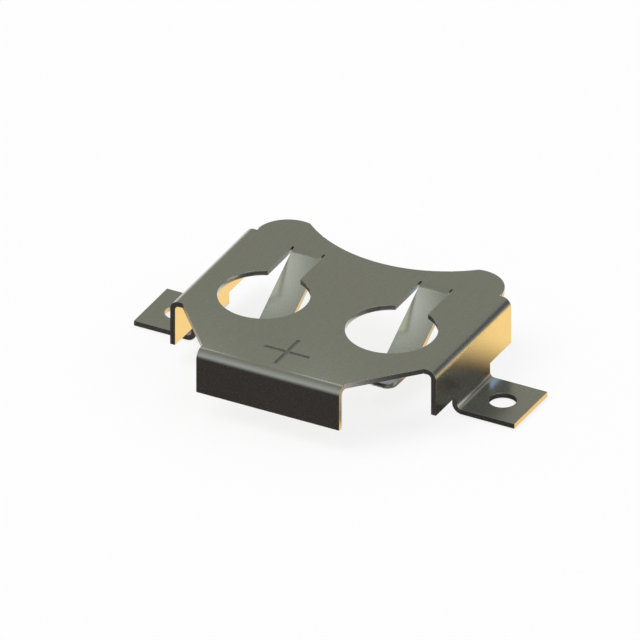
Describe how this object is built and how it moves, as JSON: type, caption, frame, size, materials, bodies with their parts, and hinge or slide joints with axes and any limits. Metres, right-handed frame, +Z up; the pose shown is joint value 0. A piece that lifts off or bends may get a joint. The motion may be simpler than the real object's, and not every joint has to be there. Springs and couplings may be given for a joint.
{
  "type": "coin cell holder",
  "caption": "Retainer folded from one piece of spring sheet that holds a coin cell on a circuit board: sprung contact tongues, side walls, front stop lip and solder feet.",
  "frame": {"origin": "on the board plane under the feet, midway between the two foot holes", "axes": "+Z up, away from the board; +Y towards the rear, where the cell slides in; +X to the right, along the line of the foot holes"},
  "size_m": [0.0304, 0.0192, 0.0051],
  "materials": {
    "plated_spring_sheet": "bright rolled sheet with a thin tin-nickel plating"
  },
  "bodies": {
    "root": {"retainer": "plated_spring_sheet"}
  },
  "joints": []
}
